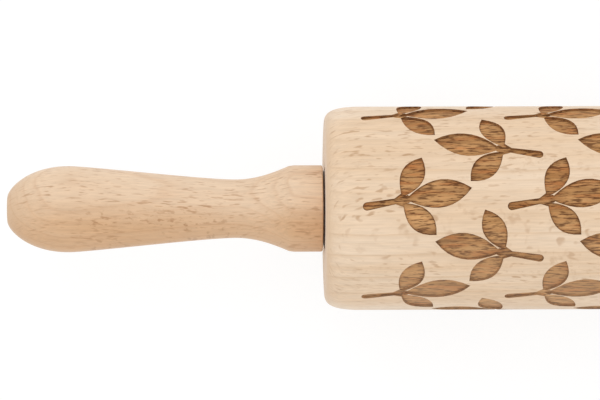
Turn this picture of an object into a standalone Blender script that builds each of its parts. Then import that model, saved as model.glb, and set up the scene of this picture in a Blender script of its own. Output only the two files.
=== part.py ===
"""Rolling pin: an engraved beech barrel that spins on a through axle between two turned handles.

Metres, +Z up. The pin lies along X with its barrel resting on Z = 0, centred on X = Y = 0.
The barrel turns on a nylon bush at each end. The axle, the thrust washers, the threaded
inserts and the handles stay still in the hands while the barrel rolls.
"""

import math

import bmesh
import bpy
from mathutils import Matrix, Vector

# Fits
CLEARANCE = 0.0003
RUNNING_GAP = 0.0006
WELD_DISTANCE = 0.000001
FLAT_ANGLE = math.radians(0.5)

# Barrel
BARREL_DIAMETER = 0.060
BARREL_LENGTH = 0.240
BARREL_ROUNDING_LENGTH = 0.008
BARREL_ROUNDING_RISE = 0.0044
BARREL_ROUNDING_STEPS = 4
BARREL_FACETS = 30
BORE_RELIEF = 0.001

# Engraved sprigs
ENGRAVING_DEPTH = 0.0007
PLAIN_END_LENGTH = 0.0103
STEM_LENGTH = 0.011
STEM_ROOT_WIDTH = 0.0024
STEM_TOP_WIDTH = 0.0017
STEM_TOP_OFFSET = 0.0016
CENTRE_LEAF_LENGTH = 0.021
CENTRE_LEAF_WIDTH = 0.0087
SIDE_LEAF_LENGTH = 0.0145
SIDE_LEAF_WIDTH = 0.0072
LEAF_NOTCH_REACH = 0.0026
LEAF_SPREAD = math.radians(54)
SPRIG_TILT = math.radians(10)
SPRIG_PHASE = math.radians(12)
LEAF_EDGE_SHARES = ((0.17, 0.28), (0.60, 1.06), (1.0, 0.0))
PITCH_ALONG_SHARE = 0.62
PITCH_AROUND_SHARE = 0.95

# Axle
AXLE_DIAMETER = 0.008
AXLE_END_DIAMETER = 0.006
AXLE_END_LENGTH = 0.030
AXLE_CHAMFER = 0.0006
AXLE_FACETS = 24

# Bushes and thrust washers
BUSH_WALL = 0.0044
BUSH_LENGTH = 0.014
BUSH_CHAMFER = 0.0008
FLANGE_WIDTH = 0.003
FLANGE_THICKNESS = 0.0017
WASHER_THICKNESS = 0.001
WASHER_INSET = 0.0003
BUSH_FACETS = 24

# Threaded inserts
INSERT_WALL = 0.0024
INSERT_LENGTH = 0.016
INSERT_BARBS = 3
BARB_DEPTH = 0.0005
BARB_LAND_SHARE = 0.3
INSERT_FACETS = 18

# Handles
HANDLE_LENGTH = 0.0928
END_FLAT_DIAMETER = 0.0066
BULB_DIAMETER = 0.0254
BULB_LENGTH = 0.018
NECK_DIAMETER = 0.01725
NECK_TO_FACE = 0.0256
SHOULDER_DIAMETER = 0.0251
SHOULDER_TO_FACE = 0.0099
COLLAR_DIAMETER = 0.0255
COLLAR_LENGTH = 0.0083
COLLAR_EDGE = 0.0005
SOCKET_ROOM = 0.0013
BULB_CONTROL_SHARES = ((0.0, 0.15), (0.30, 1.0))
GRIP_CONTROL_SHARES = ((0.12, 0.0), (0.81, 1.0))
COVE_CONTROL_SHARES = ((0.38, 0.0), (0.69, 0.47))
BULB_STEPS = 6
GRIP_STEPS = 5
COVE_STEPS = 3
HANDLE_FACETS = 24

# Sizes that follow from the fits
barrel_radius = BARREL_DIAMETER / 2
axis_height = barrel_radius
facet_width = 2 * barrel_radius * math.tan(math.pi / BARREL_FACETS)
unrolled_width = BARREL_FACETS * facet_width
rounding_start_x = BARREL_LENGTH / 2 - BARREL_ROUNDING_LENGTH
axle_radius = AXLE_DIAMETER / 2
axle_end_radius = AXLE_END_DIAMETER / 2
bush_bore_radius = axle_radius + CLEARANCE
bush_radius = bush_bore_radius + BUSH_WALL
flange_radius = bush_radius + FLANGE_WIDTH
washer_radius = flange_radius - WASHER_INSET
recess_depth = FLANGE_THICKNESS + WASHER_THICKNESS + 3 * CLEARANCE - RUNNING_GAP
handle_face_x = BARREL_LENGTH / 2 + RUNNING_GAP
washer_outer_x = handle_face_x - CLEARANCE
flange_outer_x = washer_outer_x - WASHER_THICKNESS - CLEARANCE
insert_bore_radius = axle_end_radius + CLEARANCE
insert_radius = insert_bore_radius + INSERT_WALL
axle_shoulder_x = handle_face_x - CLEARANCE


def linear_colour(code):
    """Turn an sRGB hex code into the linear RGBA that a shader socket takes."""
    channels = [int(code[i:i + 2], 16) / 255 for i in (0, 2, 4)]
    linear = [c / 12.92 if c <= 0.04045 else ((c + 0.055) / 1.055) ** 2.4 for c in channels]
    return (*linear, 1.0)


def finish(name, code, roughness, metallic=0.0):
    """Make a plain Principled material."""
    material = bpy.data.materials.new(name)
    material.use_nodes = True
    shader = material.node_tree.nodes["Principled BSDF"]
    shader.inputs["Base Color"].default_value = linear_colour(code)
    shader.inputs["Roughness"].default_value = roughness
    shader.inputs["Metallic"].default_value = metallic
    return material


def around_flats(radius, facets):
    """Corner radius of a polygon whose flats lie at the radius, so a bore never pinches its pin."""
    return radius / math.cos(math.pi / facets)


def bezier(start, end, control_shares, steps):
    """Points after the start of a cubic curve whose controls are shares of the span."""
    start, end = Vector(start), Vector(end)
    span = end - start
    first, second = (start + Vector((u * span.x, v * span.y)) for u, v in control_shares)
    points = []
    for i in range(1, steps + 1):
        t = i / steps
        points.append(
            start * (1 - t) ** 3 + first * 3 * t * (1 - t) ** 2
            + second * 3 * t ** 2 * (1 - t) + end * t ** 3
        )
    return [tuple(point) for point in points]


def new_object(name, mesh, parent=None, material=None):
    """Link a mesh object to the scene."""
    piece = bpy.data.objects.new(name, mesh)
    bpy.context.scene.collection.objects.link(piece)
    piece.parent = parent
    if material:
        piece.data.materials.append(material)
    return piece


def new_empty(name, location):
    """Link an empty that carries the pieces of one body."""
    empty = bpy.data.objects.new(name, None)
    empty.location = location
    empty.empty_display_size = barrel_radius
    bpy.context.scene.collection.objects.link(empty)
    return empty


def add_turned(shape, section, facets, closed):
    """Spin a section of (x, radius) points about X, with facets that lie flat at top and bottom."""
    turn = Matrix.Rotation(math.pi / facets, 3, "X")
    verts = [shape.verts.new(turn @ Vector((x, 0, radius))) for x, radius in section]
    pairs = list(zip(verts, verts[1:]))
    if closed:
        pairs.append((verts[-1], verts[0]))
    edges = [shape.edges.new(pair) for pair in pairs]
    bmesh.ops.spin(
        shape, geom=verts + edges, cent=(0, 0, 0), axis=(1, 0, 0),
        angle=2 * math.pi, steps=facets, use_merge=True,
    )


def closed_mesh(name, shape):
    """Weld the seams of a shape, turn its faces outward and shade it smooth between sharp edges."""
    bmesh.ops.remove_doubles(shape, verts=shape.verts, dist=WELD_DISTANCE)
    bmesh.ops.recalc_face_normals(shape, faces=shape.faces)
    mesh = bpy.data.meshes.new(name)
    shape.to_mesh(mesh)
    shape.free()
    mesh.shade_smooth()
    mesh.set_sharp_from_angle(angle=math.radians(30))
    return mesh


def turned_mesh(name, section, facets, closed):
    """One solid of revolution about X."""
    shape = bmesh.new()
    add_turned(shape, section, facets, closed)
    return closed_mesh(name, shape)


def turned_points(points, angle):
    """Flat points turned about (0, 0)."""
    cosine, sine = math.cos(angle), math.sin(angle)
    return [(u * cosine - v * sine, u * sine + v * cosine) for u, v in points]


def leaf_outline(length, width, angle):
    """One leaf: right edge from base to tip, then left edge back, turned about the base."""
    edge = [(along * length, across * width / 2) for along, across in LEAF_EDGE_SHARES]
    outline = [(u, -v) for u, v in edge] + [(u, v) for u, v in reversed(edge[:-1])]
    return turned_points(outline, angle)


def sprig_outline(turn):
    """Three leaves on a stem, counterclockwise, centred between stem end and leaf tip, and turned."""
    half_root, half_top = STEM_ROOT_WIDTH / 2, STEM_TOP_WIDTH / 2
    notch_u = LEAF_NOTCH_REACH * math.cos(LEAF_SPREAD / 2)
    notch_v = LEAF_NOTCH_REACH * math.sin(LEAF_SPREAD / 2)
    points = [
        (-STEM_LENGTH, -half_root), (-STEM_TOP_OFFSET, -half_top),
        *leaf_outline(SIDE_LEAF_LENGTH, SIDE_LEAF_WIDTH, -LEAF_SPREAD),
        (notch_u, -notch_v),
        *leaf_outline(CENTRE_LEAF_LENGTH, CENTRE_LEAF_WIDTH, 0),
        (notch_u, notch_v),
        *leaf_outline(SIDE_LEAF_LENGTH, SIDE_LEAF_WIDTH, LEAF_SPREAD),
        (-STEM_TOP_OFFSET, half_top), (-STEM_LENGTH, half_root),
    ]
    middle = (CENTRE_LEAF_LENGTH - STEM_LENGTH) / 2
    return turned_points([(u - middle, v) for u, v in points], turn)


def unrolled_outlines():
    """Every sprig outline on the unrolled barrel, with a second copy of each that crosses the seam.

    Sprigs lie along the pin. Their rings point to the right and to the left in turn, and each
    ring is moved round by half a place from the one before it.
    """
    sprig_reach = STEM_LENGTH + CENTRE_LEAF_LENGTH
    sprig_width = 2 * SIDE_LEAF_LENGTH * math.sin(LEAF_SPREAD) + SIDE_LEAF_WIDTH
    leans = [sprig_outline(SPRIG_TILT), sprig_outline(math.pi - SPRIG_TILT)]
    margin = PLAIN_END_LENGTH + max(abs(x) for outline in leans for x, y in outline)
    span = BARREL_LENGTH - 2 * margin
    gaps = max(int(span / (PITCH_ALONG_SHARE * sprig_reach)), 1)
    in_ring = int(unrolled_width / (PITCH_AROUND_SHARE * sprig_width))
    for ring in range(gaps + 1):
        along = span * (ring / gaps - 0.5)
        for place in range(in_ring):
            around = SPRIG_PHASE * barrel_radius + unrolled_width * (place + 0.5 * (ring % 2)) / in_ring
            for lap in (-unrolled_width, 0, unrolled_width):
                copy = [(along + x, around + y + lap) for x, y in leans[ring % 2]]
                if max(y for x, y in copy) > 0 and min(y for x, y in copy) < unrolled_width:
                    yield copy


def loop_edges(shape, points):
    """A closed ring of edges at height zero, with its vertices."""
    verts = [shape.verts.new((x, y, 0)) for x, y in points]
    return verts, [shape.edges.new((verts[i - 1], verts[i])) for i in range(len(verts))]


def roll_up(flat):
    """Carry a point from the unrolled barrel to its facet: X along, Y around, Z above the surface."""
    facet = min(math.floor(flat.y / facet_width), BARREL_FACETS - 1)
    angle = 2 * math.pi * facet / BARREL_FACETS
    reach = barrel_radius + flat.z
    offset = (flat.y - (facet + 0.5) * facet_width) * reach / barrel_radius
    return Vector((
        flat.x,
        reach * math.sin(angle) + offset * math.cos(angle),
        reach * math.cos(angle) - offset * math.sin(angle),
    ))


def add_engraved_wall(shape):
    """The straight part of the barrel: sunk sprigs laid out flat, scored at the facets, rolled up."""
    outlines = list(unrolled_outlines())
    low = min(min(y for x, y in outline) for outline in outlines) - facet_width
    high = max(max(y for x, y in outline) for outline in outlines) + facet_width
    left, right = -rounding_start_x, rounding_start_x
    land_edges = loop_edges(shape, [(left, low), (right, low), (right, high), (left, high)])[1]
    for outline in outlines:
        rim, edges = loop_edges(shape, outline)
        land_edges += edges
        floor = [shape.verts.new((x, y, -ENGRAVING_DEPTH)) for x, y in outline]
        shape.faces.new(floor)
        for i in range(len(rim)):
            shape.faces.new((rim[i - 1], rim[i], floor[i], floor[i - 1]))
    bmesh.ops.triangle_fill(shape, edges=land_edges, use_beauty=True, use_dissolve=True)
    for ridge in range(BARREL_FACETS + 1):
        bmesh.ops.bisect_plane(
            shape, geom=shape.verts[:] + shape.edges[:] + shape.faces[:], dist=WELD_DISTANCE,
            plane_co=(0, ridge * facet_width, 0), plane_no=(0, 1, 0),
            clear_inner=ridge == 0, clear_outer=ridge == BARREL_FACETS,
        )
    for vert in shape.verts:
        vert.co = roll_up(vert.co)


def barrel_end_section():
    """Line from the left end of the straight wall round both ends and through the bore to the right."""
    half = BARREL_LENGTH / 2
    recess_floor = half - recess_depth
    seat_floor = flange_outer_x - BUSH_LENGTH - CLEARANCE
    right = [
        (seat_floor, axle_radius + BORE_RELIEF), (seat_floor, bush_radius + CLEARANCE),
        (recess_floor, bush_radius + CLEARANCE), (recess_floor, flange_radius + CLEARANCE),
        (half, flange_radius + CLEARANCE),
    ]
    for i in range(BARREL_ROUNDING_STEPS + 1):
        angle = math.pi / 2 * i / BARREL_ROUNDING_STEPS
        x = rounding_start_x + BARREL_ROUNDING_LENGTH * math.cos(angle)
        right.append((x, barrel_radius - BARREL_ROUNDING_RISE * (1 - math.sin(angle))))
    both = [(-x, radius) for x, radius in reversed(right)] + right
    return [(x, around_flats(radius, BARREL_FACETS)) for x, radius in both]


def make_barrel(parent, material):
    """The roller: engraved round its straight wall, rounded at the ends, bored for axle and bushes."""
    shape = bmesh.new()
    add_engraved_wall(shape)
    add_turned(shape, barrel_end_section(), BARREL_FACETS, closed=False)
    bmesh.ops.remove_doubles(shape, verts=shape.verts, dist=WELD_DISTANCE)
    bmesh.ops.dissolve_limit(
        shape, angle_limit=FLAT_ANGLE, verts=shape.verts, edges=shape.edges)
    return new_object("roller_barrel", closed_mesh("roller_barrel", shape), parent, material)


def make_axle(parent, material):
    """Through rod with a shoulder and a thinner screwed end inside each handle."""
    tip = axle_shoulder_x + AXLE_END_LENGTH
    right = [
        (axle_shoulder_x, axle_radius), (axle_shoulder_x, axle_end_radius),
        (tip - AXLE_CHAMFER, axle_end_radius), (tip, axle_end_radius - AXLE_CHAMFER), (tip, 0),
    ]
    section = [(-x, radius) for x, radius in reversed(right)] + right
    mesh = turned_mesh("axle_rod", section, AXLE_FACETS, closed=False)
    return new_object("axle_rod", mesh, parent, material)


def bush_section():
    """Flanged sleeve, with its flange face at X = 0 and its body towards +X."""
    bore = around_flats(bush_bore_radius, BUSH_FACETS)
    return [
        (0, bore), (0, flange_radius), (FLANGE_THICKNESS, flange_radius),
        (FLANGE_THICKNESS, bush_radius), (BUSH_LENGTH - BUSH_CHAMFER, bush_radius),
        (BUSH_LENGTH, bush_radius - BUSH_CHAMFER), (BUSH_LENGTH, bore),
    ]


def washer_section():
    """Flat ring, with its outer face at X = 0."""
    bore = around_flats(bush_bore_radius, BUSH_FACETS)
    return [(0, bore), (0, washer_radius), (WASHER_THICKNESS, washer_radius), (WASHER_THICKNESS, bore)]


def insert_section():
    """Barbed nut, flush with the handle's face at X = 0 and reaching into the handle at -X."""
    bore = around_flats(insert_bore_radius, INSERT_FACETS)
    barb = INSERT_LENGTH / INSERT_BARBS
    outer = []
    for i in range(INSERT_BARBS):
        start = -i * barb
        outer += [(start, insert_radius), (start - BARB_LAND_SHARE * barb, insert_radius)]
        outer += [(start - barb, insert_radius - BARB_DEPTH)]
    return [(0, bore), *outer, (-INSERT_LENGTH, bore)]


def handle_section():
    """Turned grip, with its face at X = 0, its free end at -X and a blind socket for the axle."""
    free_end = -HANDLE_LENGTH
    collar = COLLAR_DIAMETER / 2
    outer = [(free_end, 0), (free_end, END_FLAT_DIAMETER / 2)]
    bulb = (free_end + BULB_LENGTH, BULB_DIAMETER / 2)
    neck = (-NECK_TO_FACE, NECK_DIAMETER / 2)
    shoulder = (-SHOULDER_TO_FACE, SHOULDER_DIAMETER / 2)
    outer += bezier(outer[-1], bulb, BULB_CONTROL_SHARES, BULB_STEPS)
    outer += bezier(bulb, neck, GRIP_CONTROL_SHARES, GRIP_STEPS)
    outer += bezier(neck, shoulder, COVE_CONTROL_SHARES, COVE_STEPS)
    outer += [(-COLLAR_LENGTH, collar), (-COLLAR_EDGE, collar), (0, collar - COLLAR_EDGE)]
    seat = around_flats(insert_radius + CLEARANCE, HANDLE_FACETS)
    socket = around_flats(insert_bore_radius, HANDLE_FACETS)
    seat_floor = -INSERT_LENGTH - CLEARANCE
    socket_floor = CLEARANCE - AXLE_END_LENGTH - SOCKET_ROOM
    bore = [(0, seat), (seat_floor, seat), (seat_floor, socket), (socket_floor, socket), (socket_floor, 0)]
    return outer + bore


def make_pair(name, section, facets, closed, left_x, parent, material):
    """A left piece and its twin turned end for end about Z, sharing one mesh."""
    mesh = turned_mesh(name, section, facets, closed)
    mesh.materials.append(material)
    left = new_object(name + "_left", mesh, parent)
    left.location.x = left_x
    right = new_object(name + "_right", mesh, parent)
    right.location.x = -left_x
    right.rotation_euler.z = math.pi
    return left, right


def main():
    for old in list(bpy.data.objects):
        bpy.data.objects.remove(old)

    beech = finish("turned_beech", "E6CBAA", 0.55)
    handle_beech = finish("handle_beech", "E8C8A6", 0.5)
    steel = finish("axle_steel", "B9BBBE", 0.3, metallic=1.0)
    nylon = finish("bush_nylon", "E9E6DC", 0.45)
    washer_steel = finish("washer_steel", "C4C5C7", 0.35, metallic=1.0)
    brass = finish("insert_brass", "C9A45C", 0.35, metallic=1.0)

    axis = (0, 0, axis_height)
    barrel_body = new_empty("barrel_body", axis)
    grip_body = new_empty("grip_body", axis)

    make_barrel(barrel_body, beech)
    make_pair("bush", bush_section(), BUSH_FACETS, True, -flange_outer_x, barrel_body, nylon)
    make_axle(grip_body, steel)
    make_pair("thrust_washer", washer_section(), BUSH_FACETS, True, -washer_outer_x, grip_body, washer_steel)
    make_pair("threaded_insert", insert_section(), INSERT_FACETS, True, -handle_face_x, grip_body, brass)
    make_pair("handle", handle_section(), HANDLE_FACETS, False, -handle_face_x, grip_body, handle_beech)


main()
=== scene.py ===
"""Looks of an engraved beech rolling pin: its wood, engraving, fittings and a plain stage.

Metres, +Z up, X along the pin. The barrel rests on Z = 0 and turns about the line Y = 0,
Z = half its diameter. Each piece is modelled in place, with its object at the origin.
"""

import math

import bmesh
import bpy
from bpy.props import FloatProperty, FloatVectorProperty, IntProperty, PointerProperty
from mathutils import Matrix, Vector
from mathutils.geometry import interpolate_bezier


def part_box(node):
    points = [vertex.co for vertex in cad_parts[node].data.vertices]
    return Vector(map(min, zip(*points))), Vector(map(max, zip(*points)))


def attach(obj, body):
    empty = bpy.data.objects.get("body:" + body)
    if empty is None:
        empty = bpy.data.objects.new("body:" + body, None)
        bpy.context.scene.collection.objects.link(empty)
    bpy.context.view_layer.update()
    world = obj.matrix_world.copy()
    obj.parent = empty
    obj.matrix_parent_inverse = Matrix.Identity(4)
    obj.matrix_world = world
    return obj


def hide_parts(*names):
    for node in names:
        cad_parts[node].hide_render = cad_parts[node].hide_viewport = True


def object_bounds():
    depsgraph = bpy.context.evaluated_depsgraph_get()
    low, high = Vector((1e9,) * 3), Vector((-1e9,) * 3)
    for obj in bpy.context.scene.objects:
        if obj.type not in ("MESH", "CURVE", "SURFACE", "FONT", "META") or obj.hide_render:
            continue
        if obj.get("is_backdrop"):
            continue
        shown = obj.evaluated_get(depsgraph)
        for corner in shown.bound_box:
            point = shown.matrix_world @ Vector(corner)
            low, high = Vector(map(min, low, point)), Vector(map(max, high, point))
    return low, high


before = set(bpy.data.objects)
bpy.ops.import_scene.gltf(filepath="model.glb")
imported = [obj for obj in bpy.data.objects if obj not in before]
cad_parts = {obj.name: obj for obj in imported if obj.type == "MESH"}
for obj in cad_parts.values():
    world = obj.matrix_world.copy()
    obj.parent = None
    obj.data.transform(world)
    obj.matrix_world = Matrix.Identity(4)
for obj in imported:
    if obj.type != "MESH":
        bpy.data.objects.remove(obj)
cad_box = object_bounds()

bl_info = {
    "name": "Engraved Rolling Pin",
    "version": (1, 0, 0),
    "blender": (4, 5, 0),
    "location": "3D View > Sidebar > Rolling Pin",
    "description": "Adds an engraved beech rolling pin in fine detail, on a plain stage",
    "category": "Add Mesh",
}

MM = 0.001
WELD_DISTANCE = 0.001 * MM
SHARP_ANGLE = math.radians(30)

# Share of a leaf's length and half width: edge start, two curve controls, tip
LEAF_EDGE_SHARES = ((0.13, 0.20), (0.40, 1.05), (0.69, 1.40), (1.0, 0.0))
# Corners of an engraved outline sharper than this are scorched, and darkened as painted shade
TIP_ANGLE = math.radians(110)
# Least distance from one sprig to the next, as shares of a sprig's reach and width
PITCH_ALONG_SHARE = 0.62
PITCH_AROUND_SHARE = 0.95
# Curve controls of the barrel's rounded end and of the handle's bulb, grip and cove, as shares
# of each one's length and rise
ROUNDING_CONTROL_SHARES = ((0.05, 0.7), (0.35, 0.95))
BULB_CONTROL_SHARES = ((0.0, 0.25), (0.32, 1.0))
GRIP_CONTROL_SHARES = ((0.12, 0.0), (0.81, 1.0))
COVE_CONTROL_SHARES = ((0.38, 0.0), (0.69, 0.47))
# Flat part of an insert's barb, as a share of the barb's length
BARB_LAND_SHARE = 0.3
# Chamfer at the end of a bush that goes in first, in chamfers of its other edges
LEAD_IN_SHARE = 3
# Steps along one edge of a leaf, along a long curve and round a small edge
LEAF_STEPS = 9
CURVE_STEPS = 24
EDGE_STEPS = 4

# How far growth rings wander outwards and inwards, and rays to either side
RING_WANDER = 0.9 * MM
RAY_SWAY = 0.5 * MM
# Lines of drawn steel, their length and their width, and rings of turned metal, their width.
# Both are drawn coarser than the real ones, which are too fine to show.
DRAWN_LINE_LENGTH = 25 * MM
DRAWN_LINE_WIDTH = 0.25 * MM
TURNED_RING_WIDTH = 0.2 * MM
# Grain of a moulded surface
MOULDED_GRAIN = 2.5 * MM

# Strength of the world as light and as seen
WORLD_LIGHT = 0.9
WORLD_SEEN = 1.0
# The floor as seen: what it glows, and the share of the light on it that it adds, which keeps
# the shadow
FLOOR_GLOW = 0.84
FLOOR_SHARE = 0.2
# How far the camera sees, in camera distances
CLIP_SHARE = 10

# Colour sockets of a Mix node, by index because its sockets for other types share their names
MIX_FROM, MIX_TO, MIX_RESULT = 6, 7, 2

barrel_low, barrel_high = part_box("roller_barrel")
handle_low, handle_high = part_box("handle_left")
axle_low, axle_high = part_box("axle_rod")
bush_low, bush_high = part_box("bush_left")
washer_low, washer_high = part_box("thrust_washer_left")
insert_low, insert_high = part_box("threaded_insert_left")
axis_height = (barrel_low.z + barrel_high.z) / 2


def linear_colour(code):
    """Turn an sRGB hex code into linear red, green and blue."""
    channels = [int(code[i:i + 2], 16) / 255 for i in (0, 2, 4)]
    return [c / 12.92 if c <= 0.04045 else ((c + 0.055) / 1.055) ** 2.4 for c in channels]


def length(name, description, default):
    """A length property in metres."""
    return FloatProperty(name=name, description=description, default=default, min=0, unit="LENGTH")


def angle(name, description, degrees):
    """An angle property."""
    return FloatProperty(
        name=name, description=description, default=math.radians(degrees), subtype="ANGLE")


def colour(name, description, code):
    """A colour property whose default is an sRGB hex code."""
    return FloatVectorProperty(
        name=name, description=description, default=linear_colour(code),
        min=0, max=1, size=3, subtype="COLOR")


class BarrelSettings(bpy.types.PropertyGroup):
    diameter: length("Diameter", "Across the barrel", barrel_high.z - barrel_low.z)
    length: length("Length", "Barrel from end face to end face", barrel_high.x - barrel_low.x)
    rounding_length: length("Rounding Length", "Rounded end, along the axis", 9.5 * MM)
    rounding_rise: length("Rounding Rise", "Rounded end, across the axis", 3.8 * MM)
    bore: length("Bore", "Hole that clears the axle", 10 * MM)
    seat_diameter: length("Bush Seat", "Hole that holds the bush", 18 * MM)
    seat_depth: length("Bush Seat Depth", "From the end face to the floor of that hole", 15.3 * MM)
    recess_diameter: length("Recess", "Recess for flange and washer", 24 * MM)
    recess_depth: length("Recess Depth", "Depth of the recess", 3 * MM)
    segments: IntProperty(
        name="Segments", description="Faces around the barrel", default=144, min=24)
    cut_depth: length("Cut Depth", "Depth of the engraving", 0.7 * MM)
    wall_run: length("Wall Run", "How far the engraving's wall leans in", 0.12 * MM)
    # The scorched edge is also painted shade in the narrow recess
    char_width: length("Char Width", "Width of the scorched edge of a cut", 0.3 * MM)
    plain_end: length("Plain End", "Bare wood from the end face to the first leaf tip", 10.3 * MM)
    stem_length: length("Stem Length", "Stem of a sprig", 11 * MM)
    stem_root_width: length("Stem Root Width", "Stem at its free end", 2.4 * MM)
    stem_top_width: length("Stem Top Width", "Stem where it meets the leaves", 1.7 * MM)
    stem_top_offset: length("Stem Top Offset", "From the stem's top to the leaves' base", 1.6 * MM)
    centre_leaf_length: length("Centre Leaf Length", "Middle leaf, base to tip", 21 * MM)
    centre_leaf_width: length("Centre Leaf Width", "Middle leaf, across", 8.7 * MM)
    side_leaf_length: length("Side Leaf Length", "Side leaf, base to tip", 14.5 * MM)
    side_leaf_width: length("Side Leaf Width", "Side leaf, across", 7.2 * MM)
    notch_reach: length("Notch Reach", "From the leaves' base to the notch of two leaves", 2.6 * MM)
    leaf_spread: angle("Leaf Spread", "Between the middle leaf and a side leaf", 54)
    sprig_tilt: angle("Sprig Tilt", "Lean of a sprig against the pin's axis", 10)
    sprig_phase: angle("Sprig Phase", "Turn of the first ring of sprigs about the axis", 6)
    pale: colour("Pale Wood", "Palest earlywood", "F3DCC2")
    # Also the pale veil painted on the engraving's lower side as painted light
    deep: colour("Deep Wood", "Deepest tone of plain wood", "EACBA9")
    late: colour("Latewood", "Line at the end of a year's growth", "DBB892")
    ray: colour("Ray", "Cut ends of the wood's rays", "B3875C")
    end_grain: colour("End Grain", "Wood cut across its fibres", "DDBF9F")
    burnt_pale: colour("Pale Burn", "Lightest engraved wood", "CD9C68")
    burnt: colour("Burn", "Engraved wood", "A57544")
    burnt_red: colour("Red Burn", "Reddest engraved wood", "B36F3B")
    # Also painted on the engraving's walls and tips as painted shade
    burnt_dark: colour("Dark Burn", "Scorched streaks and edges of the engraving", "5F3615")


class HandleSettings(bpy.types.PropertyGroup):
    length: length("Length", "One handle", handle_high.x - handle_low.x)
    end_flat: length("End Flat", "Flat left at the free end, across", 7.2 * MM)
    bulb_diameter: length("Bulb", "Widest part of the grip, across", 25.4 * MM)
    bulb_length: length("Bulb Length", "From the free end to the widest part", 18 * MM)
    neck_diameter: length("Neck", "Thinnest part, across", 17.25 * MM)
    neck_to_face: length("Neck To Face", "From the thinnest part to the barrel side", 25.6 * MM)
    shoulder_diameter: length("Shoulder", "Top of the cove, across", 25.1 * MM)
    shoulder_to_face: length(
        "Shoulder To Face", "From the top of the cove to the barrel side", 9.9 * MM)
    collar_diameter: length("Collar", "Collar at the barrel side, across", 25.5 * MM)
    collar_length: length("Collar Length", "Collar, along the axis", 8.3 * MM)
    collar_edge: length("Collar Edge", "Radius of the collar's edge", 0.5 * MM)
    seat_diameter: length("Insert Seat", "Hole that holds the threaded insert", 12 * MM)
    seat_depth: length("Insert Seat Depth", "Depth of that hole", 16.3 * MM)
    socket_diameter: length("Socket", "Hole that clears the axle's end", 6.6 * MM)
    socket_depth: length("Socket Depth", "Depth of that hole", 31 * MM)
    segments: IntProperty(name="Segments", description="Faces around a handle", default=128, min=24)
    pale: colour("Pale Wood", "Palest earlywood", "F2D9BD")
    deep: colour("Deep Wood", "Deepest tone of plain wood", "D7A97B")
    late: colour("Latewood", "Line at the end of a year's growth", "CFA27A")
    ray: colour("Ray", "Cut ends of the wood's rays", "AC7B51")
    end_grain: colour("End Grain", "Wood cut across its fibres", "D6B18C")


class FittingSettings(bpy.types.PropertyGroup):
    axle_diameter: length("Axle", "Rod through the barrel, across", axle_high.z - axle_low.z)
    screwed_diameter: length("Screwed End", "Axle's screwed ends, across", 6 * MM)
    screwed_length: length("Screwed Length", "One screwed end", 30 * MM)
    axle_chamfer: length("Axle Chamfer", "Chamfer at the axle's ends", 0.6 * MM)
    bush_bore: length("Bush Bore", "Hole of a bush and of a washer", 8.6 * MM)
    bush_body: length("Bush Body", "Sleeve of a bush, across", 17.4 * MM)
    flange_thickness: length("Flange Thickness", "Flange of a bush", 1.7 * MM)
    fitting_edge: length("Edge Chamfer", "Broken edges of bushes and washers", 0.25 * MM)
    insert_bore: length("Insert Bore", "Hole of a threaded insert", 6.6 * MM)
    barb_depth: length("Barb Depth", "Barbs of a threaded insert", 0.5 * MM)
    barbs: IntProperty(name="Barbs", description="Barbs along an insert", default=3, min=1)
    segments: IntProperty(name="Segments", description="Faces around a fitting", default=72, min=16)
    steel: colour("Axle Steel", "Drawn steel of the axle", "B9BBBE")
    washer_steel: colour("Washer Steel", "Stamped steel of the washers", "C4C5C7")
    nylon: colour("Nylon", "Natural moulded nylon of the bushes", "E9E6DC")
    brass: colour("Brass", "Turned brass of the inserts", "C9A45C")


class StageSettings(bpy.types.PropertyGroup):
    floor_size: length("Floor Size", "Floor from its middle to its edge", 3.0)
    camera_distance: length("Camera Distance", "From the camera to the pin's axis", 1.2)
    camera_x: FloatProperty(
        name="Camera X", description="Camera's place along the pin", default=-0.151, unit="LENGTH")
    aim_x: FloatProperty(
        name="Aim X", description="Middle of the picture along the pin", default=-0.1272,
        unit="LENGTH")
    aim_y: FloatProperty(
        name="Aim Y", description="Middle of the picture across the pin", default=0.0025,
        unit="LENGTH")
    picture_width: length("Picture Width", "Width of what the camera sees at the pin's axis", 0.177)
    roll: angle("Roll", "How far the pin leans in the picture", 0.17)
    lamp_diameter: length("Lamp Diameter", "Soft lamp, across", 1.2)
    lamp_power: FloatProperty(
        name="Lamp Power", description="Power of the soft lamp", default=3.0, min=0, unit="POWER")
    lamp_place: FloatVectorProperty(
        name="Lamp Place", description="Middle of the soft lamp", default=(-0.35, 1.0, 1.3),
        size=3, subtype="TRANSLATION")
    floor: colour("Floor", "Floor", "F8F8F6")


def add(tree, kind, inputs=None, stops=None, **fields):
    """Add a shader node: set its fields, then link or set its inputs, and place a ramp's stops.

    An input is given by name or index, as a value, a socket, or a node for its first output.
    """
    node = tree.nodes.new("ShaderNode" + kind)
    for field, value in fields.items():
        setattr(node, field, value)
    for key, value in (inputs or {}).items():
        if isinstance(value, bpy.types.Node):
            value = value.outputs[0]
        if isinstance(value, bpy.types.NodeSocket):
            tree.links.new(value, node.inputs[key])
        else:
            node.inputs[key].default_value = value
    if stops:
        ramp = node.color_ramp
        ramp.elements.remove(ramp.elements[1])
        for index, (place, shade) in enumerate(stops):
            element = ramp.elements[0] if index == 0 else ramp.elements.new(place)
            element.position = place
            element.color = (shade, shade, shade, 1)
    return node


def new_material(name):
    """A material with an empty node tree, and its tree."""
    material = bpy.data.materials.new(name)
    material.use_nodes = True
    material.node_tree.nodes.clear()
    return material, material.node_tree


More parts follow.
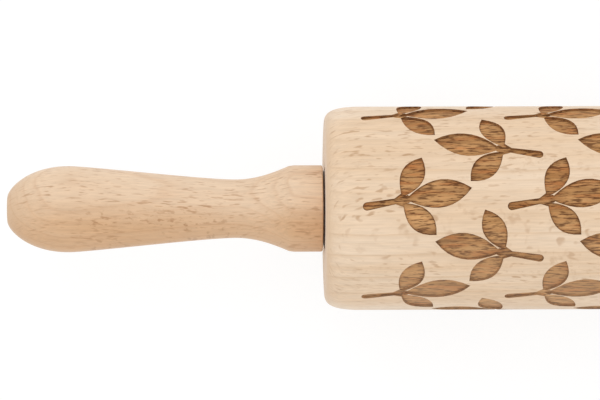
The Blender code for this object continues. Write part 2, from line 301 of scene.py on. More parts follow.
def mottle(tree, place, size, spread=(0.3, 0.7), result=(0.0, 1.0), detail=3.0):
    """Irregular patches of a size in millimetres, as a value between two results."""
    scale = [1 / (MM * side) for side in size]
    cells = add(tree, "VectorMath", {0: place, 1: scale}, operation="MULTIPLY")
    cloud = add(tree, "TexNoise", {
        "Vector": cells, "Scale": 1.0, "Detail": detail, "Roughness": 0.55})
    return add(tree, "MapRange", {
        "Value": cloud, "From Min": spread[0], "From Max": spread[1],
        "To Min": result[0], "To Max": result[1]})


def seen_directly(tree):
    """1 for what the camera sees, also mirrored or through glass, and 0 for light on the pin."""
    path = add(tree, "LightPath")
    plain = add(tree, "Math", {
        0: path.outputs["Is Camera Ray"], 1: path.outputs["Is Glossy Ray"]}, operation="MAXIMUM")
    return add(tree, "Math", {
        0: plain, 1: path.outputs["Is Transmission Ray"]}, operation="MAXIMUM")


def log_grain(tree, pith, lean, pith_distance):
    """Place in the log that a blank was cut from: plain, along the grain, around and outwards.

    pith is a point on the log's centre line and lean turns that line off the pin's axis, so
    that growth rings show as lines, arches or ovals wherever the turned surface cuts them.
    The grain runs along the log, around it and out from the pith.
    """
    place = add(tree, "TexCoord").outputs["Object"]
    log = add(tree, "Mapping", {"Vector": place, "Location": pith, "Rotation": lean},
              vector_type="TEXTURE")
    parts = add(tree, "SeparateXYZ", {"Vector": log})
    flat = add(tree, "VectorMath", {0: log, 1: (0, 1, 1)}, operation="MULTIPLY")
    reach = add(tree, "VectorMath", {0: flat}, operation="LENGTH").outputs["Value"]
    wander = mottle(tree, log, size=(110, 18, 18), result=(-RING_WANDER, RING_WANDER))
    out = add(tree, "Math", {0: reach, 1: wander}, operation="ADD")
    turn = add(tree, "Math", {0: parts.outputs["Z"], 1: parts.outputs["Y"]}, operation="ARCTAN2")
    sway = mottle(tree, log, size=(50, 12, 12), result=(-RAY_SWAY, RAY_SWAY))
    around = add(tree, "Math", {0: turn, 1: pith_distance, 2: sway}, operation="MULTIPLY_ADD")
    grain = add(tree, "CombineXYZ", {"X": parts.outputs["X"], "Y": around, "Z": out})
    return log, grain, around, out


def beech(name, settings, pith, lean, pith_distance, ring_width, deep_sector, depth, ray_size,
          flecks):
    """Beech, turned on a lathe, sanded and left bare.

    Beech is pale and pinkish, with a thin darker line at the end of each year's growth, and
    one sector of a log is often deeper than the rest. Its rays show as short tan dashes where
    the surface lies along the rings, and as wider flecks where it cuts across them. Sanding
    leaves it dull, with faint fibres along the axis. End grain soaks up light, so it is darker.

    deep_sector is the two angles about the pith, in degrees, between which the wood turns
    deeper, and depth says how much. ray_size is in millimetres along the log, around it and
    outwards, and flecks is the strength of the wide ones.
    """
    material, tree = new_material(name)
    log, grain, around, out = log_grain(tree, pith, lean, pith_distance)

    # Broad drift between paler and deeper wood, and the deeper sector
    drift = mottle(tree, log, size=(90, 13, 13), spread=(0.34, 0.66), result=(0.0, 1.0 - depth))
    start, end = (pith_distance * math.radians(side) for side in deep_sector)
    sector = add(tree, "MapRange", {"Value": around, "From Min": start, "From Max": end},
                 interpolation_type="SMOOTHSTEP")
    tone = add(tree, "Math", {0: sector, 1: depth, 2: drift}, operation="MULTIPLY_ADD")
    wood = add(tree, "Mix", {
        "Factor": tone, MIX_FROM: (*settings.pale, 1), MIX_TO: (*settings.deep, 1)},
        data_type="RGBA")

    # Growth rings of uneven width: each year pale at first, then a thin darker line, which is
    # stronger in some years. A stop of the ramp is a place in the year and its darkness.
    uneven = add(tree, "TexNoise", {"W": out, "Scale": 0.3 / ring_width, "Detail": 1.0},
                 noise_dimensions="1D")
    years = add(tree, "Math", {0: out, 1: 1 / ring_width, 2: uneven}, operation="MULTIPLY_ADD")
    year = add(tree, "Math", {0: years}, operation="FRACT")
    line = add(tree, "ValToRGB", {"Fac": year}, stops=(
        (0.0, 0.55), (0.12, 0.05), (0.5, 0.06), (0.8, 0.4), (0.94, 1.0), (1.0, 0.75)))
    count = add(tree, "Math", {0: years}, operation="FLOOR")
    chance = add(tree, "TexWhiteNoise", {"W": count}, noise_dimensions="1D")
    strong = add(tree, "MapRange", {
        "Value": chance.outputs["Value"], "To Min": 0.12, "To Max": 0.62})
    ring = add(tree, "Math", {0: line, 1: strong}, operation="MULTIPLY")
    wood = add(tree, "Mix", {
        "Factor": ring, MIX_FROM: wood.outputs[MIX_RESULT], MIX_TO: (*settings.late, 1)},
        data_type="RGBA")

    # Fibres along the axis, drawn half a millimetre wide because real ones are too fine to show,
    # and longer paler and darker streaks
    fibre = mottle(tree, log, size=(7, 0.55, 0.55))
    streak = mottle(tree, log, size=(45, 1.3, 1.3), result=(0.965, 1.03))
    shade = add(tree, "MapRange", {"Value": fibre, "To Min": 0.92, "To Max": 1.05})
    shade = add(tree, "Math", {0: shade, 1: streak}, operation="MULTIPLY")
    wood = add(tree, "VectorMath", {0: wood.outputs[MIX_RESULT], 1: shade}, operation="MULTIPLY")

    # Rays: cells that are short along the log, thin around it and long outwards
    small = mottle(tree, grain, size=ray_size, spread=(0.58, 0.7), detail=1.0)
    crowd = mottle(tree, log, size=(30, 6, 6), spread=(0.35, 0.65), result=(0.15, 0.65))
    small = add(tree, "Math", {0: small, 1: crowd}, operation="MULTIPLY")
    large = mottle(tree, grain, size=(2.2, 0.8, 7), spread=(0.58, 0.68), detail=2.0)
    where = mottle(
        tree, grain, size=(30, 8, 20), spread=(0.42, 0.62), result=(0.0, flecks), detail=1.0)
    where = add(tree, "Math", {0: where, 1: sector}, operation="MULTIPLY")
    large = add(tree, "Math", {0: large, 1: where}, operation="MULTIPLY")
    dash = add(tree, "Math", {0: small, 1: large}, operation="MAXIMUM")
    wood = add(tree, "Mix", {
        "Factor": dash, MIX_FROM: wood, MIX_TO: (*settings.ray, 1)}, data_type="RGBA")

    # End grain, where the surface turns towards the axis
    facing = add(tree, "SeparateXYZ", {"Vector": add(tree, "TexCoord").outputs["Normal"]})
    across = add(tree, "Math", {0: facing.outputs["X"]}, operation="ABSOLUTE")
    cut = add(tree, "MapRange", {
        "Value": across, "From Min": 0.12, "From Max": 0.95, "To Max": 0.75},
        interpolation_type="SMOOTHSTEP")
    wood = add(tree, "Mix", {
        "Factor": cut, MIX_FROM: wood.outputs[MIX_RESULT], MIX_TO: (*settings.end_grain, 1)},
        data_type="RGBA")

    rough = add(tree, "MapRange", {"Value": fibre, "To Min": 0.5, "To Max": 0.66})
    relief = add(tree, "Math", {0: fibre, 1: dash}, operation="SUBTRACT")
    bump = add(tree, "Bump", {"Strength": 0.2, "Distance": 0.05 * MM, "Height": relief})
    shader = add(tree, "BsdfPrincipled", {
        "Base Color": wood.outputs[MIX_RESULT], "Roughness": rough, "Normal": bump,
        "Specular IOR Level": 0.4, "Sheen Weight": 0.28, "Sheen Roughness": 0.35})
    add(tree, "OutputMaterial", {"Surface": shader})
    return material


def engraved_beech(name, settings, pith, lean, pith_distance):
    """Beech burnt away by a laser, which leaves a rough brown floor.

    Soft earlywood burns deeper and lighter than the hard lines between, so the floor is
    streaked along the grain, and the walls and narrow tips, where the beam turns, are scorched.
    They are also darkened as painted shade in the narrow recess, and the engraving on the pin's
    lower side is painted paler as painted light from the floor.
    """
    material, tree = new_material(name)
    log, *_, out = log_grain(tree, pith, lean, pith_distance)

    # Tan and brown patches
    patch = mottle(tree, log, size=(24, 4, 4), detail=2.0)
    burn = add(tree, "Mix", {
        "Factor": patch, MIX_FROM: (*settings.burnt_pale, 1), MIX_TO: (*settings.burnt, 1)},
        data_type="RGBA")
    glow = mottle(
        tree, log, size=(11, 1.6, 1.6), spread=(0.48, 0.7), result=(0.0, 0.75), detail=2.0)
    burn = add(tree, "Mix", {
        "Factor": glow, MIX_FROM: burn.outputs[MIX_RESULT], MIX_TO: (*settings.burnt_red, 1)},
        data_type="RGBA")

    # Streaks about half a millimetre wide and several long: paler grooves and scorched ridges
    groove = mottle(
        tree, log, size=(7, 0.5, 0.5), spread=(0.36, 0.5), result=(1.22, 1.0), detail=2.0)
    burn = add(tree, "VectorMath", {0: burn.outputs[MIX_RESULT], 1: groove}, operation="MULTIPLY")
    ridge = mottle(
        tree, log, size=(3.4, 0.5, 0.5), spread=(0.5, 0.62), result=(0.0, 0.85), detail=2.0)
    burn = add(tree, "Mix", {
        "Factor": ridge, MIX_FROM: burn, MIX_TO: (*settings.burnt_dark, 1)}, data_type="RGBA")

    # Scorched edges and tips, here and there, darkened also as painted shade in the narrow recess
    edge_scorch_and_shade = add(tree, "Attribute", attribute_name="scorch_and_shade").outputs["Fac"]
    hold = mottle(tree, log, size=(5, 1.6, 1.6), result=(0.15, 0.8))
    edge = add(tree, "Math", {0: edge_scorch_and_shade, 1: hold}, operation="MULTIPLY")
    burn = add(tree, "Mix", {
        "Factor": edge, MIX_FROM: burn.outputs[MIX_RESULT], MIX_TO: (*settings.burnt_dark, 1)},
        data_type="RGBA")

    # Painted light: the engraving is painted paler towards the pith, which lies off the pin's lower
    # side, for light thrown up there from the floor
    soft = add(tree, "MapRange", {
        "Value": out, "From Min": pith_distance, "From Max": 0.6 * pith_distance, "To Max": 0.22})
    burn = add(tree, "Mix", {
        "Factor": soft, MIX_FROM: burn.outputs[MIX_RESULT], MIX_TO: (*settings.deep, 1)},
        data_type="RGBA")

    bump = add(tree, "Bump", {"Strength": 0.5, "Distance": 0.12 * MM, "Height": ridge})
    shader = add(tree, "BsdfPrincipled", {
        "Base Color": burn.outputs[MIX_RESULT], "Roughness": 0.8, "Normal": bump,
        "Specular IOR Level": 0.3})
    add(tree, "OutputMaterial", {"Surface": shader})
    return material


def drawn_steel(name, shade):
    """Bright mild steel, cold drawn through a die, which leaves long fine lines along the rod."""
    material, tree = new_material(name)
    place = add(tree, "TexCoord").outputs["Object"]
    scale = (1 / DRAWN_LINE_LENGTH, 1 / DRAWN_LINE_WIDTH, 1 / DRAWN_LINE_WIDTH)
    lines = add(tree, "VectorMath", {0: place, 1: scale}, operation="MULTIPLY")
    drawn = add(tree, "TexNoise", {"Vector": lines, "Scale": 1.0, "Detail": 3.0})
    rough = add(tree, "MapRange", {"Value": drawn, "To Min": 0.22, "To Max": 0.42})
    bump = add(tree, "Bump", {"Strength": 0.15, "Distance": 0.01 * MM, "Height": drawn})
    shader = add(tree, "BsdfPrincipled", {
        "Base Color": (*shade, 1), "Metallic": 1.0, "Roughness": rough, "Normal": bump})
    add(tree, "OutputMaterial", {"Surface": shader})
    return material


def turned_metal(name, shade, rough_low, rough_high):
    """Metal faced on a lathe or stamped and tumbled, with fine rings about the axis."""
    material, tree = new_material(name)
    place = add(tree, "TexCoord").outputs["Object"]
    centred = add(tree, "VectorMath", {0: place, 1: (0, 0, axis_height)}, operation="SUBTRACT")
    flat = add(tree, "VectorMath", {0: centred, 1: (0, 1, 1)}, operation="MULTIPLY")
    reach = add(tree, "VectorMath", {0: flat}, operation="LENGTH").outputs["Value"]
    along = add(tree, "SeparateXYZ", {"Vector": place})
    path = add(tree, "CombineXYZ", {"X": along.outputs["X"], "Y": reach})
    lines = add(tree, "TexNoise", {
        "Vector": path, "Scale": 1 / TURNED_RING_WIDTH, "Detail": 2.0})
    rough = add(tree, "MapRange", {"Value": lines, "To Min": rough_low, "To Max": rough_high})
    bump = add(tree, "Bump", {"Strength": 0.2, "Distance": 0.01 * MM, "Height": lines})
    shader = add(tree, "BsdfPrincipled", {
        "Base Color": (*shade, 1), "Metallic": 1.0, "Roughness": rough, "Normal": bump})
    add(tree, "OutputMaterial", {"Surface": shader})
    return material


def moulded_nylon(name, shade):
    """Natural nylon, injection moulded: off-white, a little translucent, with a satin skin."""
    material, tree = new_material(name)
    place = add(tree, "TexCoord").outputs["Object"]
    cloud = add(tree, "TexNoise", {"Vector": place, "Scale": 1 / MOULDED_GRAIN, "Detail": 3.0})
    rough = add(tree, "MapRange", {"Value": cloud, "To Min": 0.38, "To Max": 0.52})
    bump = add(tree, "Bump", {"Strength": 0.1, "Distance": 0.02 * MM, "Height": cloud})
    shader = add(tree, "BsdfPrincipled", {
        "Base Color": (*shade, 1), "Roughness": rough, "IOR": 1.53, "Normal": bump,
        "Subsurface Weight": 0.3, "Subsurface Radius": (1.0, 0.9, 0.8),
        "Subsurface Scale": 1.0 * MM})
    add(tree, "OutputMaterial", {"Surface": shader})
    return material


def place_in_order(part, count):
    """A number that puts an edge or a face in the order of its three lowest vertices."""
    place = 0
    for index in sorted(vert.index for vert in part.verts)[:3]:
        place = place * count + index
    return place


def new_piece(name, shape, materials):
    """Turn a bmesh into an object with closed seams, outward faces and smooth shading.

    Its edges and faces are put in order, because the operators leave them in another one each run.
    """
    bmesh.ops.remove_doubles(shape, verts=shape.verts, dist=WELD_DISTANCE)
    bmesh.ops.recalc_face_normals(shape, faces=shape.faces)
    shape.verts.index_update()
    count = len(shape.verts)
    for parts in (shape.edges, shape.faces):
        parts.sort(key=lambda part: place_in_order(part, count))
        parts.index_update()
    mesh = bpy.data.meshes.new(name)
    shape.to_mesh(mesh)
    shape.free()
    mesh.shade_smooth()
    mesh.set_sharp_from_angle(angle=SHARP_ANGLE)
    for material in materials:
        mesh.materials.append(material)
    piece = bpy.data.objects.new(name, mesh)
    bpy.context.scene.collection.objects.link(piece)
    return piece


def add_turned(shape, section, segments, closed):
    """Spin a line of (x, radius) points about the pin's axis."""
    verts = [shape.verts.new((x, 0, axis_height + radius)) for x, radius in section]
    pairs = list(zip(verts, verts[1:]))
    if closed:
        pairs.append((verts[-1], verts[0]))
    edges = [shape.edges.new(pair) for pair in pairs]
    bmesh.ops.spin(
        shape, geom=verts + edges, cent=(0, 0, axis_height), axis=(1, 0, 0),
        angle=2 * math.pi, steps=segments, use_merge=True)


def arc(centre, radii, start, end, steps):
    """Points on a quarter of an ellipse, from one angle to another, in degrees."""
    turns = [math.radians(start + (end - start) * i / steps) for i in range(steps + 1)]
    return [(centre[0] + radii[0] * math.cos(t), centre[1] + radii[1] * math.sin(t)) for t in turns]


def cubic(start, end, control_shares, steps):
    """Points after the start of a cubic curve whose controls are shares of the span."""
    start, end = Vector((*start, 0)), Vector((*end, 0))
    span = end - start
    first, second = (start + Vector((u * span.x, v * span.y, 0)) for u, v in control_shares)
    points = interpolate_bezier(start, first, second, end, steps + 1)
    return [tuple(point.xy) for point in points[1:]]


def turned_points(points, turn):
    """Flat points turned about (0, 0)."""
    cosine, sine = math.cos(turn), math.sin(turn)
    return [(u * cosine - v * sine, u * sine + v * cosine) for u, v in points]


def leaf_outline(leaf_length, leaf_width, turn):
    """One leaf: right edge from base to tip, then left edge back, turned about the base."""
    knots = [Vector((u * leaf_length, v * leaf_width / 2, 0)) for u, v in LEAF_EDGE_SHARES]
    edge = [tuple(point.xy) for point in interpolate_bezier(*knots, LEAF_STEPS + 1)]
    outline = [(u, -v) for u, v in edge] + [(u, v) for u, v in reversed(edge[:-1])]
    return turned_points(outline, turn)


def sprig_outline(s, turn):
    """Three leaves on a round-ended stem, counterclockwise, centred on its length and turned."""
    half_root, half_top = s.stem_root_width / 2, s.stem_top_width / 2
    root, root_radii = (half_root - s.stem_length, 0), (half_root, half_root)
    notch_u = s.notch_reach * math.cos(s.leaf_spread / 2)
    notch_v = s.notch_reach * math.sin(s.leaf_spread / 2)
    points = [
        *arc(root, root_radii, 180, 270, EDGE_STEPS),
        (-s.stem_top_offset, -half_top),
        *leaf_outline(s.side_leaf_length, s.side_leaf_width, -s.leaf_spread),
        (notch_u, -notch_v),
        *leaf_outline(s.centre_leaf_length, s.centre_leaf_width, 0),
        (notch_u, notch_v),
        *leaf_outline(s.side_leaf_length, s.side_leaf_width, s.leaf_spread),
        (-s.stem_top_offset, half_top),
        *arc(root, root_radii, 90, 180, EDGE_STEPS)[:-1],
    ]
    middle = (s.centre_leaf_length - s.stem_length) / 2
    return turned_points([(u - middle, v) for u, v in points], turn)


def unrolled_outlines(s):
    """Every sprig outline on the unrolled barrel, and again where one crosses the seam.

    Sprigs lie along the pin. Their rings point to the right and to the left in turn, and each
    ring is moved round by half a place from the one before it.
    """
    girth = math.pi * s.diameter
    sprig_reach = s.stem_length + s.centre_leaf_length
    sprig_width = 2 * s.side_leaf_length * math.sin(s.leaf_spread) + s.side_leaf_width
    leans = [sprig_outline(s, s.sprig_tilt), sprig_outline(s, math.pi - s.sprig_tilt)]
    margin = s.plain_end + max(abs(x) for outline in leans for x, y in outline)
    span = s.length - 2 * margin
    gaps = max(int(span / (PITCH_ALONG_SHARE * sprig_reach)), 1)
    in_ring = int(girth / (PITCH_AROUND_SHARE * sprig_width))
    for ring in range(gaps + 1):
        along = span * (ring / gaps - 0.5)
        for place in range(in_ring):
            around = s.sprig_phase * s.diameter / 2 + girth * (place + 0.5 * (ring % 2)) / in_ring
            for lap in (-girth, 0, girth):
                copy = [(along + x, around + y + lap) for x, y in leans[ring % 2]]
                if max(y for x, y in copy) > 0 and min(y for x, y in copy) < girth:
                    yield copy


def loop_edges(shape, points):
    """A closed ring of edges at height zero, with its vertices."""
    verts = [shape.verts.new((x, y, 0)) for x, y in points]
    return verts, [shape.edges.new((verts[i - 1], verts[i])) for i in range(len(verts))]


def match_long_sides(shape, girth):
    """Give both long sides of the flat sheet the same corners, so it closes when rolled up."""
    sides = [
        edge for edge in shape.edges
        if all(min(abs(v.co.y), abs(v.co.y - girth)) < WELD_DISTANCE for v in edge.verts)
    ]
    places = sorted({vert.co.x for edge in sides for vert in edge.verts})
    for edge in sides:
        start, end = sorted(edge.verts, key=lambda vert: vert.co.x)
        for x in places:
            if start.co.x + WELD_DISTANCE < x < end.co.x - WELD_DISTANCE:
                share = (x - start.co.x) / (end.co.x - start.co.x)
                start = bmesh.utils.edge_split(edge, start, share)[1]


def add_engraved_wall(shape, s):
    """The straight part of the barrel, laid out flat with its sprigs sunk, then rolled up.

    Faces of the engraving get the second material, and the attribute of scorch and painted shade
    is 1 on their walls and at the sharp tips of their floor, and fades towards the middle of the
    floor.
    """
    # Marks scorch, and painted shade on the walls and tips of the recess
    scorch_and_shade = shape.verts.layers.float.new("scorch_and_shade")
    girth = math.pi * s.diameter
    outlines = list(unrolled_outlines(s))
    low = min(min(y for x, y in outline) for outline in outlines) - s.cut_depth
    high = max(max(y for x, y in outline) for outline in outlines) + s.cut_depth
    right = s.length / 2 - s.rounding_length
    sheet = [(-right, low), (right, low), (right, high), (-right, high)]
    land_edges = loop_edges(shape, sheet)[1]
    rims = []
    for outline in outlines:
        rim, edges = loop_edges(shape, outline)
        rims.append(rim)
        land_edges += edges
    bmesh.ops.triangle_fill(shape, edges=land_edges, use_beauty=True)
    floors = [shape.faces.new(rim) for rim in rims]
    bmesh.ops.recalc_face_normals(shape, faces=shape.faces)
    if floors[0].normal.z < 0:
        bmesh.ops.reverse_faces(shape, faces=shape.faces)
    for floor in floors:
        floor.material_index = 1
    bmesh.ops.inset_individual(
        shape, faces=floors, thickness=s.wall_run, depth=-s.cut_depth, use_even_offset=True)
    for face in shape.faces:
        if face.material_index == 1:
            for vert in face.verts:
                vert[scorch_and_shade] = 1.0
    bmesh.ops.inset_individual(
        shape, faces=floors, thickness=s.char_width, depth=0, use_even_offset=True)
    for floor in floors:
        for corner in floor.loops:
            tip = corner.is_convex and corner.calc_angle() < TIP_ANGLE
            corner.vert[scorch_and_shade] = 1.0 if tip else 0.0
    for cut in range(s.segments + 1):
        bmesh.ops.bisect_plane(
            shape, geom=shape.verts[:] + shape.edges[:] + shape.faces[:], dist=WELD_DISTANCE,
            plane_co=(0, cut * girth / s.segments, 0), plane_no=(0, 1, 0),
            clear_inner=cut == 0, clear_outer=cut == s.segments)
    match_long_sides(shape, girth)
    for vert in shape.verts:
        turn = 2 * math.pi * vert.co.y / girth
        reach = s.diameter / 2 + vert.co.z
        vert.co = (vert.co.x, reach * math.sin(turn), axis_height + reach * math.cos(turn))


def barrel_end_section(s):
    """Line from the left of the straight wall round both ends and through the bore to its right."""
    half, radius = s.length / 2, s.diameter / 2
    recess_floor = half - s.recess_depth
    seat_floor = half - s.seat_depth
    right = [
        (seat_floor, s.bore / 2), (seat_floor, s.seat_diameter / 2),
        (recess_floor, s.seat_diameter / 2), (recess_floor, s.recess_diameter / 2),
        (half, s.recess_diameter / 2), (half, radius - s.rounding_rise),
        *cubic((half, radius - s.rounding_rise), (half - s.rounding_length, radius),
               ROUNDING_CONTROL_SHARES, CURVE_STEPS),
    ]
    return [(-x, r) for x, r in reversed(right)] + right


def handle_section(s):
    """Outline of the left handle from its free end to its face, then into its socket."""
    face, free_end = handle_high.x, handle_high.x - s.length
    collar = s.collar_diameter / 2
    bulb = (free_end + s.bulb_length, s.bulb_diameter / 2)
    neck = (face - s.neck_to_face, s.neck_diameter / 2)
    shoulder = (face - s.shoulder_to_face, s.shoulder_diameter / 2)
    outer = [(free_end, 0), (free_end, s.end_flat / 2)]
    outer += cubic(outer[-1], bulb, BULB_CONTROL_SHARES, CURVE_STEPS)
    outer += cubic(bulb, neck, GRIP_CONTROL_SHARES, CURVE_STEPS)
    outer += cubic(neck, shoulder, COVE_CONTROL_SHARES, CURVE_STEPS)
    outer += [(face - s.collar_length, collar)]
    edge = s.collar_edge
    outer += arc((face - edge, collar - edge), (edge, edge), 90, 0, EDGE_STEPS)
    seat, socket = s.seat_diameter / 2, s.socket_diameter / 2
    seat_floor, socket_floor = face - s.seat_depth, face - s.socket_depth
    return outer + [
        (face, seat), (seat_floor, seat), (seat_floor, socket), (socket_floor, socket),
        (socket_floor, 0)]


def bush_section(s):
    """Flanged sleeve of the left bush, from its bore round its flange."""
    outer_x, inner_x = bush_low.x, bush_high.x
    bore, body, flange = s.bush_bore / 2, s.bush_body / 2, (bush_high.z - bush_low.z) / 2
    edge, lead_in = s.fitting_edge, LEAD_IN_SHARE * s.fitting_edge
    under = outer_x + s.flange_thickness
    return [
        (outer_x, bore), (outer_x, flange - edge), (outer_x + edge, flange),
        (under - edge, flange), (under, flange - edge), (under, body),
        (inner_x - lead_in, body), (inner_x, body - lead_in), (inner_x, bore),
    ]


def washer_section(s):
    """Flat ring of the left thrust washer."""
    outer_x, inner_x = washer_low.x, washer_high.x
    bore, rim, edge = s.bush_bore / 2, (washer_high.z - washer_low.z) / 2, s.fitting_edge
    return [
        (outer_x, bore), (outer_x, rim - edge), (outer_x + edge, rim),
        (inner_x - edge, rim), (inner_x, rim - edge), (inner_x, bore),
    ]


def insert_section(s):
    """Barbed nut of the left handle, flush with the handle's face."""
    face, back = insert_high.x, insert_low.x
    bore, body = s.insert_bore / 2, (insert_high.z - insert_low.z) / 2
    barb = (face - back) / s.barbs
    outer = []
    for i in range(s.barbs):
        start = face - i * barb
        land_end = start - BARB_LAND_SHARE * barb
        outer += [(start, body), (land_end, body), (start - barb, body - s.barb_depth)]
    return [(face, bore), *outer, (back, bore)]


def axle_section(s):
    """Axle from one tip to the other, thinner where it is screwed."""
    rod, screwed, tip = s.axle_diameter / 2, s.screwed_diameter / 2, axle_high.x
    shoulder = tip - s.screwed_length
    right = [
        (shoulder, rod), (shoulder, screwed), (tip - s.axle_chamfer, screwed),
        (tip, screwed - s.axle_chamfer), (tip, 0),
    ]
    return [(-x, radius) for x, radius in reversed(right)] + right


def turned_pair(name, section, segments, closed, materials, body, slot):
    """A left piece and its twin at the right end, each standing for its CAD node."""
    for side, sign in (("left", 1), ("right", -1)):
        shape = bmesh.new()
        add_turned(shape, [(sign * x, radius) for x, radius in section], segments, closed)
        piece = new_piece(f"{name}_{side}_fine", shape, [materials[side]])
        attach(piece, body)
        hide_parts(f"{name}_{side}")


class ROLLINGPIN_OT_barrel(bpy.types.Operator):
    """Add the engraved beech barrel"""
    bl_idname = "rolling_pin.barrel"
    bl_label = "Engraved Barrel"
    bl_options = {"REGISTER", "UNDO"}

    def execute(self, context):
        s = context.scene.rolling_pin_barrel
        # The pith lies off the pin's lower side, where the engraving is painted paler as painted
        # light from the floor
        log = {
            "pith": (0, -64 * MM, axis_height + 9 * MM),
            "lean": (0, math.radians(1.2), math.radians(0.8)),
            "pith_distance": 65 * MM,
        }
        wood = beech("turned_beech_barrel", s, ring_width=3.1 * MM, deep_sector=(5, 15),
                     depth=0.1, ray_size=(3.6, 0.45, 3.2), flecks=0.3, **log)
        burn = engraved_beech("laser_engraved_beech", s, **log)
        shape = bmesh.new()
        add_engraved_wall(shape, s)
        add_turned(shape, barrel_end_section(s), s.segments, closed=False)
        piece = new_piece("roller_barrel_fine", shape, [wood, burn])
        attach(piece, "barrel")
        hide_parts("roller_barrel")
        return {"FINISHED"}


class ROLLINGPIN_OT_handles(bpy.types.Operator):
    """Add the two turned beech handles"""
    bl_idname = "rolling_pin.handles"
    bl_label = "Turned Handles"
    bl_options = {"REGISTER", "UNDO"}

    def execute(self, context):
        s = context.scene.rolling_pin_handles
        alike = {"ring_width": 1.8 * MM, "depth": 0.7, "ray_size": (3.4, 0.45, 6), "flecks": 0.85}
        left = beech(
            "turned_beech_left", s, pith=(0, -22 * MM, axis_height - 28 * MM),
            lean=(0, math.radians(1.0), math.radians(-1.5)), pith_distance=36 * MM,
            deep_sector=(58.5, 73), **alike)
        right = beech(
            "turned_beech_right", s, pith=(0, 25 * MM, axis_height - 20 * MM),
            lean=(0, math.radians(-1.5), math.radians(1.0)), pith_distance=32 * MM,
            deep_sector=(130, 142), **alike)
        turned_pair(
            "handle", handle_section(s), s.segments, False, {"left": left, "right": right},
            "grips", "handle_beech")
        return {"FINISHED"}


class ROLLINGPIN_OT_fittings(bpy.types.Operator):
    """Add the axle, bushes, thrust washers and threaded inserts"""
    bl_idname = "rolling_pin.fittings"
    bl_label = "Fittings"
    bl_options = {"REGISTER", "UNDO"}

    def execute(self, context):
        s = context.scene.rolling_pin_fittings
        shape = bmesh.new()
        add_turned(shape, axle_section(s), s.segments, closed=False)
        axle = new_piece("axle_rod_fine", shape, [drawn_steel("drawn_steel_axle", s.steel)])
        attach(axle, "grips")
        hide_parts("axle_rod")
        nylon = moulded_nylon("moulded_nylon", s.nylon)
        steel = turned_metal(
            "stamped_steel_washer", s.washer_steel, rough_low=0.25, rough_high=0.45)
        brass = turned_metal("turned_brass_insert", s.brass, rough_low=0.22, rough_high=0.4)
        for name, section, material, body, slot in (
            ("bush", bush_section(s), nylon, "barrel", "bush_nylon"),
            ("thrust_washer", washer_section(s), steel, "grips", "washer_steel"),
            ("threaded_insert", insert_section(s), brass, "grips", "insert_brass"),
        ):
            turned_pair(
                name, section, s.segments, True, {"left": material, "right": material}, body, slot)
        return {"FINISHED"}


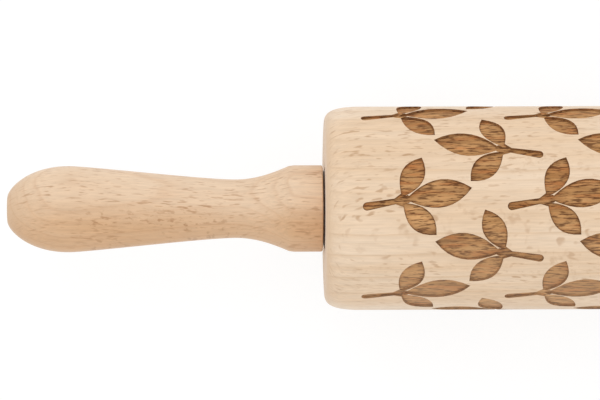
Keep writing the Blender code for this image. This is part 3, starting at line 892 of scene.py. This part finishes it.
class ROLLINGPIN_OT_stage(bpy.types.Operator):
    """Add the floor, the light and the camera"""
    bl_idname = "rolling_pin.stage"
    bl_label = "Stage"
    bl_options = {"REGISTER", "UNDO"}

    def execute(self, context):
        s = context.scene.rolling_pin_stage
        scene = context.scene
        scene.view_settings.view_transform = "Standard"
        self.add_world(scene)
        self.add_floor(s)
        self.add_lamp(scene, s)
        self.add_camera(scene, s)
        return {"FINISHED"}

    def add_world(self, scene):
        """Even white light from all round, seen as pure white by the camera and in reflections."""
        world = bpy.data.worlds.new("even_white")
        world.use_nodes = True
        tree = world.node_tree
        tree.nodes.clear()
        strength = add(tree, "MapRange", {
            "Value": seen_directly(tree), "To Min": WORLD_LIGHT, "To Max": WORLD_SEEN})
        sky = add(tree, "Background", {"Color": (1, 1, 1, 1), "Strength": strength})
        add(tree, "OutputWorld", {"Surface": sky})
        scene.world = world

    def add_floor(self, s):
        """White laminate board, smooth and dull, which the camera sees as white but for shadows."""
        material, tree = new_material("white_board")
        seen = seen_directly(tree)
        board = add(tree, "BsdfDiffuse", {"Color": (*s.floor, 1)})
        shaded = add(tree, "BsdfDiffuse", {"Color": (FLOOR_SHARE, FLOOR_SHARE, FLOOR_SHARE, 1)})
        glow = add(tree, "Emission", {"Color": (1, 1, 1, 1), "Strength": FLOOR_GLOW})
        pale = add(tree, "AddShader", {0: shaded, 1: glow})
        both = add(tree, "MixShader", {"Fac": seen, 1: board, 2: pale})
        add(tree, "OutputMaterial", {"Surface": both})
        shape = bmesh.new()
        bmesh.ops.create_grid(shape, x_segments=1, y_segments=1, size=s.floor_size)
        floor = new_piece("floor", shape, [material])
        floor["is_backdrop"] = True

    def add_lamp(self, scene, s):
        """One large soft lamp above the far side of the pin."""
        data = bpy.data.lights.new("soft_lamp", "AREA")
        data.shape = "DISK"
        data.size = s.lamp_diameter
        data.energy = s.lamp_power
        lamp = bpy.data.objects.new("soft_lamp", data)
        lamp.location = s.lamp_place
        beam = Vector((0, 0, axis_height)) - lamp.location
        lamp.rotation_euler = beam.to_track_quat("-Z", "Y").to_euler()
        scene.collection.objects.link(lamp)

    def add_camera(self, scene, s):
        """Camera above the left end, looking down, with the pin lying across the picture."""
        data = bpy.data.cameras.new("camera")
        aim = Vector((s.aim_x, s.aim_y, axis_height))
        place = Vector((s.camera_x, s.aim_y, axis_height + s.camera_distance))
        data.lens = data.sensor_width * (place - aim).length / s.picture_width
        data.clip_end = CLIP_SHARE * s.camera_distance
        camera = bpy.data.objects.new("camera", data)
        back = (place - aim).normalized()
        right = Vector((0, 1, 0)).cross(back).normalized()
        level = Matrix((right, back.cross(right), back)).transposed()
        turn = level @ Matrix.Rotation(-s.roll, 3, "Z")
        camera.matrix_world = Matrix.Translation(place) @ turn.to_4x4()
        scene.collection.objects.link(camera)
        scene.camera = camera


class ROLLINGPIN_PT_panel(bpy.types.Panel):
    """Buttons and sizes of the rolling pin"""
    bl_idname = "ROLLINGPIN_PT_panel"
    bl_label = "Engraved Rolling Pin"
    bl_space_type = "VIEW_3D"
    bl_region_type = "UI"
    bl_category = "Rolling Pin"

    def draw(self, context):
        for operator, group, settings in STEPS:
            box = self.layout.box()
            box.operator(operator.bl_idname)
            for name in settings.__annotations__:
                box.prop(getattr(context.scene, group), name)


# Each operator with the scene property that holds its settings, in the order they run
STEPS = (
    (ROLLINGPIN_OT_barrel, "rolling_pin_barrel", BarrelSettings),
    (ROLLINGPIN_OT_handles, "rolling_pin_handles", HandleSettings),
    (ROLLINGPIN_OT_fittings, "rolling_pin_fittings", FittingSettings),
    (ROLLINGPIN_OT_stage, "rolling_pin_stage", StageSettings),
)


def register():
    """Register every class, and give the scene each group of settings."""
    for operator, group, settings in STEPS:
        bpy.utils.register_class(settings)
        bpy.utils.register_class(operator)
        setattr(bpy.types.Scene, group, PointerProperty(type=settings))
    bpy.utils.register_class(ROLLINGPIN_PT_panel)


def unregister():
    """Take the classes and the settings away again."""
    bpy.utils.unregister_class(ROLLINGPIN_PT_panel)
    for operator, group, settings in reversed(STEPS):
        delattr(bpy.types.Scene, group)
        bpy.utils.unregister_class(operator)
        bpy.utils.unregister_class(settings)


def main():
    register()
    bpy.ops.rolling_pin.barrel()
    bpy.ops.rolling_pin.handles()
    bpy.ops.rolling_pin.fittings()
    bpy.ops.rolling_pin.stage()
    boxes = {"cad": cad_box, "visual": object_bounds()}
    {name: [list(corner) for corner in box] for name, box in boxes.items()}


if __name__ == "__main__":
    main()
